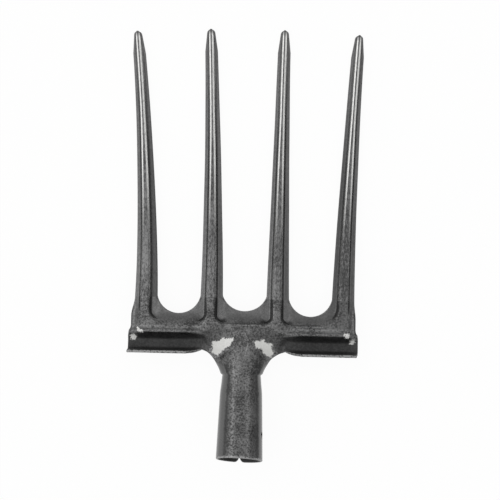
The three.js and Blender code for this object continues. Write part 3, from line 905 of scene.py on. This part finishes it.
def makeNeck(material):
    rows = [0, -0.4, -1, -1.8]
    rows += steps(rows[-1], neck["throatY"], 34)
    rows += steps(neck["throatY"], neck["closedY"], 24)
    count = neck["halfColumns"]
    columns = 2 * (count + len(roundMarks)) - 1

    def place(column, row, back):
        y = rows[row]
        rolled = y < neck["throatY"]
        halfLength = mix(neckEdge(y), pi / 2 * neck["throatRadius"], ease(-y, *neck["rollRun"]))
        wrap = pi / 2
        if rolled:
            closing = shareOf(y, neck["throatY"], neck["closedY"])
            wrap = mix(pi / 2, seamAngle(y), 1 - (1 - closing) ** 2)
            halfLength = wrap * socketRadius(y)
        share = acrossShares(halfLength, count)[column]
        drop = edgeDrop((1 - abs(share)) * halfLength) if y < wingY else 0
        depth = plate["thickness"] - drop if back else drop

        def profile(at, part):
            return rolledPoint(at, part, wrap) if rolled else neckPoint(at, part)

        point = shellPoint(y, share, depth, profile, ease(y, neck["uprightY"], 0), 0, 0)
        scale = paintedHalo = 0
        if not back:
            # painted shade in the gutter
            scale = fallen(point[0], y) * neck["fallShade"] * ease(y, neck["fallShadeEndY"], 0)
            # painted light round the bright patches
            paintedHalo = neck["paintedHalo"] * ease(-insideGlint(point[0], point[1]), *neck["paintedHaloWidth"])
            paintedHalo *= ease(-y, *neck["paintedHaloStart"])
        dark, bright, smooth = (
            mark * ease(-y, *neck["foldStart"])
            for mark in foldMarks(share * halfLength / socketRadius(y))
        )
        worn = neck["trimWear"] if drop > 0 else 0
        marks = {"wear": max(worn, bright, paintedHalo), "scale": max(scale, dark), "smooth": smooth}
        return point, marks

    pressPiece("neck", columns, len(rows), place, material)


# bores the hole for the handle's screw through both sides
def drillSocket(piece):
    y = socket["mouthY"] + socket["holeInset"] * cos(radians(neck["crank"]))
    middle = Vector((0, y, prong["crownHeight"] + crankRise(y) - socketRadius(y)))
    bit = bmesh.new()
    bmesh.ops.create_cone(
        bit, cap_ends=True, segments=48, radius1=socket["hole"] / 2, radius2=socket["hole"] / 2,
        depth=4 * socket["mouthRadius"],
    )
    turn = pi / 2 - radians(socket["holeTurn"])
    across = layDown @ Matrix.Translation(middle) @ Matrix.Rotation(turn, 4, "Y")
    bmesh.ops.transform(bit, matrix=across, verts=bit.verts)
    cutter = addObject("bit", bit)
    bore = piece.modifiers.new("bore", "BOOLEAN")
    bore.operation = "DIFFERENCE"
    bore.solver = "EXACT"
    bore.object = cutter
    shaped = piece.evaluated_get(bpy.context.evaluated_depsgraph_get())
    bored = bpy.data.meshes.new_from_object(shaped)
    piece.modifiers.clear()
    bored.set_sharp_from_angle(angle=radians(plate["sharp"]))
    piece.data = bored
    bpy.data.objects.remove(cutter)
    print("socket bored,", len(bored.polygons), "faces")


def makeSocket(material):
    closedY = neck["closedY"]
    length = closedY - socket["mouthY"]
    downs = [0, 0.5, 1.2]
    downs += steps(downs[-1], length - edgeRound, 40)[:-1]
    downs += [length - distance for distance in reversed(roundMarks)]
    count = socket["halfColumns"]
    columns = 2 * (count + len(roundMarks)) - 1

    def place(column, row, back):
        share = acrossShares(pi * socket["mouthRadius"], count)[column]
        down = downs[row] / length
        fromSeam = (1 - abs(share)) * pi * socket["mouthRadius"]
        corner = socket["seamCorner"]
        inside = clamp(corner - fromSeam, 0, corner)
        cut = corner - sqrt(corner**2 - inside**2)
        y = mix(closedY, socket["mouthY"] + cut, down)
        wrap = seamAngle(y)
        drop = edgeDrop(min(fromSeam, (length - downs[row])))
        depth = plate["thickness"] - drop if back else drop
        slope = down * tan(radians(socket["mouthLean"]))
        skew = down * tan(radians(socket["mouthSkew"]))

        def profile(at, part):
            return rolledPoint(at, part, wrap)

        dark, bright, smooth = foldMarks(share * wrap)
        lip = ease(length - downs[row], *socket["lip"])
        marks = {
            "wear": max(socket["lipWear"] * lip, bright) * (not back),
            "scale": 1 if back else dark * (1 - lip),
            "smooth": smooth,
        }
        return shellPoint(y, share, depth, profile, 0, slope, skew), marks

    drillSocket(pressPiece("socket", columns, len(downs), place, material))


def tone(hexColour):
    channels = [int(hexColour[at : at + 2], 16) / 255 for at in (1, 3, 5)]
    linear = [c / 12.92 if c <= 0.04045 else ((c + 0.055) / 1.055) ** 2.4 for c in channels]
    return (*linear, 1.0)


# adds a node to a tree and gives back one of its outputs; the inputs are in order or by name
def addNode(tree, kind, settings, inputs, output=0):
    if isinstance(inputs, list):
        inputs = dict(enumerate(inputs))
    node = tree.nodes.new("ShaderNode" + kind)
    for key, value in settings.items():
        setattr(node, key, value)
    for key, value in inputs.items():
        if isinstance(value, bpy.types.NodeSocket):
            tree.links.new(value, node.inputs[key])
        else:
            node.inputs[key].default_value = value
    return node.outputs[output] if node.outputs else node


# a material without nodes, and what adds them to it
def emptyMaterial(name):
    material = bpy.data.materials.new(name)
    material.use_nodes = True
    material.node_tree.nodes.clear()
    return material, partial(addNode, material.node_tree)


multiply = {"operation": "MULTIPLY"}
multiplyClamped = {"operation": "MULTIPLY", "use_clamp": True}
multiplyAdd = {"operation": "MULTIPLY_ADD"}
maximum = {"operation": "MAXIMUM"}
inColour = {"data_type": "RGBA"}

forgedFinish = {
    "dark": ("#3e3e3e", "#3e3e3e"),  # at a tine's root and towards its point
    "pale": ("#747474", "#747474"),
    "far": 0.35,  # share of a tine's length where they have changed
    "worn": "#9c9c9c",
    # near white, the colour of the painted highlight patches
    "bare": "#eaeae8",
    # thick scale, and painted shade
    "thickScaleAndShade": "#343434",
    # patterns: millimetres from spot to spot, detail, roughness
    "mottle": (1.5, 3, 0.6),  # the dimples that the press scale leaves
    "cloud": (16, 4, 0.5),
    "grain": (0.6, 2, 0.5),
    "ragged": (1.6, 3, 0.65),  # edges of the bare patches
    "cloudy": 0.35,
    "contrast": (0.41, 0.59),  # strength of the pattern where the steel is dark and pale
    "smoothTone": 0.6,  # between the two where the skin is smooth
    "fullScale": 0.8,
    "rubbedFrom": (0.38, 0.58),
    "grainHeight": 0.4,
    "bump": 0.00015,
    "smoothBump": 0.3,
    "stray": 3.2,  # millimetres to each side
    "glintEdge": (-0.5, 0.1),
    "glintMottle": 0.2,
    "drawn": 1,
    "roughness": (0.3, 0.7, 0.3, 0.2),  # of the mottle, and what it makes of the steel
    "rougher": (0.4, 0.2, 0.5),  # thick scale and painted shade, rubbed steel and painted highlights, and the patches of painted highlight
    "thickMetal": 0.6,  # thick scale and painted shade reflect less like metal
    # painted lines of shade and highlight along the creases where the neck was folded up: start,
    # end, half width, how light
    "lines": [((1.6, 10.4), (7.0, -0.3), 0.5, 0), ((3.5, -0.8), (1.2, -9.9), 0.45, 1),
              ((0.9, 9.4), (4.1, 2.9), 0.4, 1),
              # and along the steps where the flat panels were struck
              ((-21.7, 18.3), (19.5, 18.0), 0.55, 0), ((-18, 16.7), (17, 16.5), 0.4, 1),
              ((42.0, 17.2), (67.3, 17.6), 0.55, 0), ((46, 15.7), (70, 16.1), 0.4, 1)],
    "shoulderHighlights": [],
}
tineFinish = {
    **forgedFinish,
    "dark": ("#464646", "#484848"),
    "pale": ("#7c7c7c", "#747474"),
    "mottle": (1.1, 3, 0.6),
    "drawn": 0.4,  # the pattern is drawn out along a tine
    "lines": [],
    # the crown is rubbed bright along both shoulders, and these lines are painted highlights:
    # side, half width
    "shoulderHighlights": [(-1, 0.7), (1, 0.85)],
    "shoulderHalves": (3.4, 1.35),  # how far they run from its middle, at the root and the tip
    "shoulderEdge": (0.5, 1.1),  # shares of the half width
    "shoulderEnds": [(0.22, 0.5), (0.993, 0.975)],  # shares of the length where they fade
    "broken": (0.3, 0.5, 0.7),
    # near white, the colour of the painted shoulder highlights
    "worn": "#ececea",
}


# strength of a painted line between two points of the plate, 1 at its middle
def lineStrength(add, place, start, end, halfWidth):
    first = layDown @ Vector((*start, prong["crownHeight"]))
    way = layDown @ Vector((*end, prong["crownHeight"])) - first
    way.z = 0
    beside = add("VectorMath", {"operation": "SUBTRACT"}, [place, first])
    beside = add("VectorMath", multiply, [beside, (1, 1, 0)])
    share = way / way.length_squared
    along = add("VectorMath", {"operation": "DOT_PRODUCT"}, [beside, share], "Value")
    along = add("MapRange", {}, [along])
    nearest = add("VectorMath", {"operation": "SCALE"}, {0: way, "Scale": along})
    away = add("VectorMath", {"operation": "DISTANCE"}, [beside, nearest], "Value")
    return add("MapRange", {}, [away, 0, halfWidth / 1000, 1, 0])


# strength of the painted highlight line along one shoulder of a tine's crown
def shoulderHighlight(add, finish, along, side, halfWidth):
    across = add("Attribute", {"attribute_name": "across"}, {}, "Fac")
    root, tip = (-side * half for half in finish["shoulderHalves"])
    run = add("MapRange", {}, [along, 0, prong["crownTaper"], root, tip])
    away = add("Math", {"operation": "ADD"}, [across, run])
    away = add("Math", {"operation": "ABSOLUTE"}, [away])
    inner, outer = finish["shoulderEdge"]
    line = add("MapRange", {}, [away, halfWidth * inner, halfWidth * outer, 1, 0])
    for low, high in finish["shoulderEnds"]:
        fade = add("MapRange", {}, [along, low, high])
        line = add("Math", multiply, [line, fade])
    return line


# Hot-pressed carbon steel under clear lacquer: dark scale shows through, with a fine mottle
# that breaks up the reflections, almost black where the scale is thick and where shade is painted,
# with painted highlight lines and near-white patches of painted highlight.
def lacqueredSteel(name, finish):
    material, add = emptyMaterial(name)
    place = add("TexCoord", {}, {}, "Object")
    drawn = add("Mapping", {}, {"Vector": place, "Scale": (1, finish["drawn"], 1)})
    patterns = []
    for key in ("mottle", "cloud", "grain", "ragged"):
        spacing, detail, roughness = finish[key]
        patterns.append(add("TexNoise", {}, {
            "Vector": drawn if key in ("mottle", "cloud") else place,
            "Scale": 1000 / spacing, "Detail": detail, "Roughness": roughness,
        }))
    mottle, cloud, grain, ragged = patterns
    wear, scale, smooth, along, bare = (
        add("Attribute", {"attribute_name": key}, {}, "Fac")
        for key in ("wear", "scale", "smooth", "along", "bare")
    )
    shade = add("Math", multiply, [mottle, 1 - finish["cloudy"]])
    shade = add("Math", multiplyAdd, [cloud, finish["cloudy"], shade])
    shade = add("MapRange", {}, [shade, *finish["contrast"]])
    shade = add("Mix", {"data_type": "FLOAT"}, {0: smooth, 2: shade, 3: finish["smoothTone"]})
    far = add("MapRange", {}, [along, 0, finish["far"]])
    dark, pale = (
        add("Mix", inColour, {0: far, 6: tone(atRoot), 7: tone(atPoint)}, 2)
        for atRoot, atPoint in (finish["dark"], finish["pale"])
    )
    colour = add("Mix", inColour, {0: shade, 6: dark, 7: pale}, 2)
    # thick scale, and painted shade from the marks
    thickScaleAndShade = add("Math", multiplyClamped, [scale, finish["fullScale"]])
    for start, end, halfWidth, light in finish["lines"]:
        line = lineStrength(add, place, start, end, halfWidth)
        if light:
            wear = add("Math", maximum, [wear, line])
        else:
            thickScaleAndShade = add("Math", maximum, [thickScaleAndShade, line])
    # wear, and painted highlights
    patchy = add("MapRange", {}, [mottle, *finish["rubbedFrom"]])
    rubbedAndHighlit = add("Math", multiply, [wear, patchy])
    # painted highlight lines along the shoulders
    for side, halfWidth in finish["shoulderHighlights"]:
        line = shoulderHighlight(add, finish, along, side, halfWidth)
        broken = add("MapRange", {}, [mottle, *finish["broken"]])
        line = add("Math", multiply, [line, broken])
        rubbedAndHighlit = add("Math", maximum, [rubbedAndHighlit, line])
    # patches of painted highlight, with ragged edges
    strayed = add("Math", multiplyAdd, [ragged, 2 * finish["stray"], -finish["stray"]])
    strayed = add("Math", {"operation": "ADD"}, [bare, strayed])
    glinted = add("MapRange", {}, [strayed, *finish["glintEdge"]])
    glintMottled = add("Math", multiplyAdd, [mottle, finish["glintMottle"], 1 - finish["glintMottle"]])
    glintTone = add("Mix", inColour, {
        0: glintMottled, 6: tone(finish["worn"]), 7: tone(finish["bare"]),
    }, 2)
    rough = add("MapRange", {}, [mottle, *finish["roughness"]])
    coats = ((thickScaleAndShade, tone(finish["thickScaleAndShade"])), (rubbedAndHighlit, tone(finish["worn"])), (glinted, glintTone))
    for (share, over), added in zip(coats, finish["rougher"]):
        colour = add("Mix", inColour, {0: share, 6: colour, 7: over}, 2)
        rough = add("Math", multiplyAdd, [share, added, rough])
    metal = add("Math", multiplyAdd, [thickScaleAndShade, finish["thickMetal"] - 1, 1.0])
    height = add("Math", multiplyAdd, [grain, finish["grainHeight"], mottle])
    uneven = add("MapRange", {}, [smooth, 0, 1, 1, finish["smoothBump"]])
    bump = add("Bump", {}, {"Height": height, "Distance": finish["bump"], "Strength": uneven})
    steel = add("BsdfPrincipled", {}, {
        "Base Color": colour, "Metallic": metal, "Roughness": rough, "Normal": bump,
    })
    add("OutputMaterial", {}, {"Surface": steel})
    print(name, len(material.node_tree.nodes), "nodes")
    return material


forgedSteel = lacqueredSteel("lacquered_forged_steel", forgedFinish)
drawnSteel = lacqueredSteel("lacquered_drawn_steel", tineFinish)
for tine in tines:
    makeTine(tine, drawnSteel)
makeCrosshead(forgedSteel)
makeTread(-1, "tread_left", forgedSteel)
makeTread(1, "tread_right", forgedSteel)
makeNeck(forgedSteel)
makeSocket(forgedSteel)

studio = {
    "floor": "#f4f4f2",
    "glow": 0.94,  # share of the floor that shows plain white to the camera and in the steel
    # light from everywhere, and what each side adds to it; less than 0 is darker there
    "sky": {"all": 0.64, "up": 0.29, "left": 0.49, "right": -0.26, "near": 0.04},
    "boxes": [
        # place, size, radiance
        ((-0.95, 0.75, 1.2), (1.0, 1.1), 0.22),
        ((0.95, 0.75, 1.2), (1.0, 1.1), 0.4),
        ((-0.5, 0.25, 1.5), (0.5, 0.9), 0.61),
    ],
}

sheet = bmesh.new()
bmesh.ops.create_grid(sheet, x_segments=1, y_segments=1, size=15)
floor = addObject("floor", sheet)
paint, add = emptyMaterial("matt_white_floor")
matt = add("BsdfPrincipled", {}, {
    "Base Color": tone(studio["floor"]), "Roughness": 0.9, "Specular IOR Level": 0.1,
})
white = add("Emission", {}, {"Color": (1, 1, 1, 1), "Strength": 1.0})
seen = 0.0
for kind in ("Camera", "Glossy", "Transmission"):
    ray = add("LightPath", {}, {}, f"Is {kind} Ray")
    seen = add("Math", maximum, [seen, ray])
glow = add("Math", multiply, [seen, studio["glow"]])
shown = add("MixShader", {}, [glow, matt, white])
add("OutputMaterial", {}, {"Surface": shown})
floor.data.materials.append(paint)

for index, (where, size, radiance) in enumerate(studio["boxes"]):
    light = bpy.data.lights.new(f"softbox{index}", "AREA")
    light.shape = "RECTANGLE"
    light.size, light.size_y = size
    light.energy = radiance * pi * size[0] * size[1]
    box = addObject(light.name, light)
    box.location = where
    box.rotation_euler = (-Vector(where)).to_track_quat("-Z", "Y").to_euler()
    box.visible_camera = False
world = bpy.data.worlds.new("studio")
bpy.context.scene.world = world
world.use_nodes = True
background = world.node_tree.nodes["Background"]
add = partial(addNode, world.node_tree)
sky = studio["sky"]
direction = add("TexCoord", {}, {}, "Generated")
level = sky["all"]
ways = {"up": ("Z", 1), "left": ("X", -1), "right": ("X", 1), "near": ("Y", -1)}
for side, (axis, sign) in ways.items():
    towards = add("SeparateXYZ", {}, [direction], axis)
    towards = add("Math", multiplyClamped, [towards, sign])
    level = add("Math", multiplyAdd, [towards, sky[side], level])
world.node_tree.links.new(level, background.inputs["Strength"])
background.inputs["Color"].default_value = (1, 1, 1, 1)
print("white floor,", len(studio["boxes"]), "softboxes")

view = {"place": (0.0048, -0.0045, 1.150), "roll": 1.146, "focal": 91.08}
camera = addObject("camera", bpy.data.cameras.new("camera"))
camera.data.lens = view["focal"]
camera.data.sensor_width = 36
camera.location = view["place"]
camera.rotation_euler = (0, 0, radians(view["roll"]))
bpy.context.scene.camera = camera
bpy.context.scene.view_settings.view_transform = "Standard"
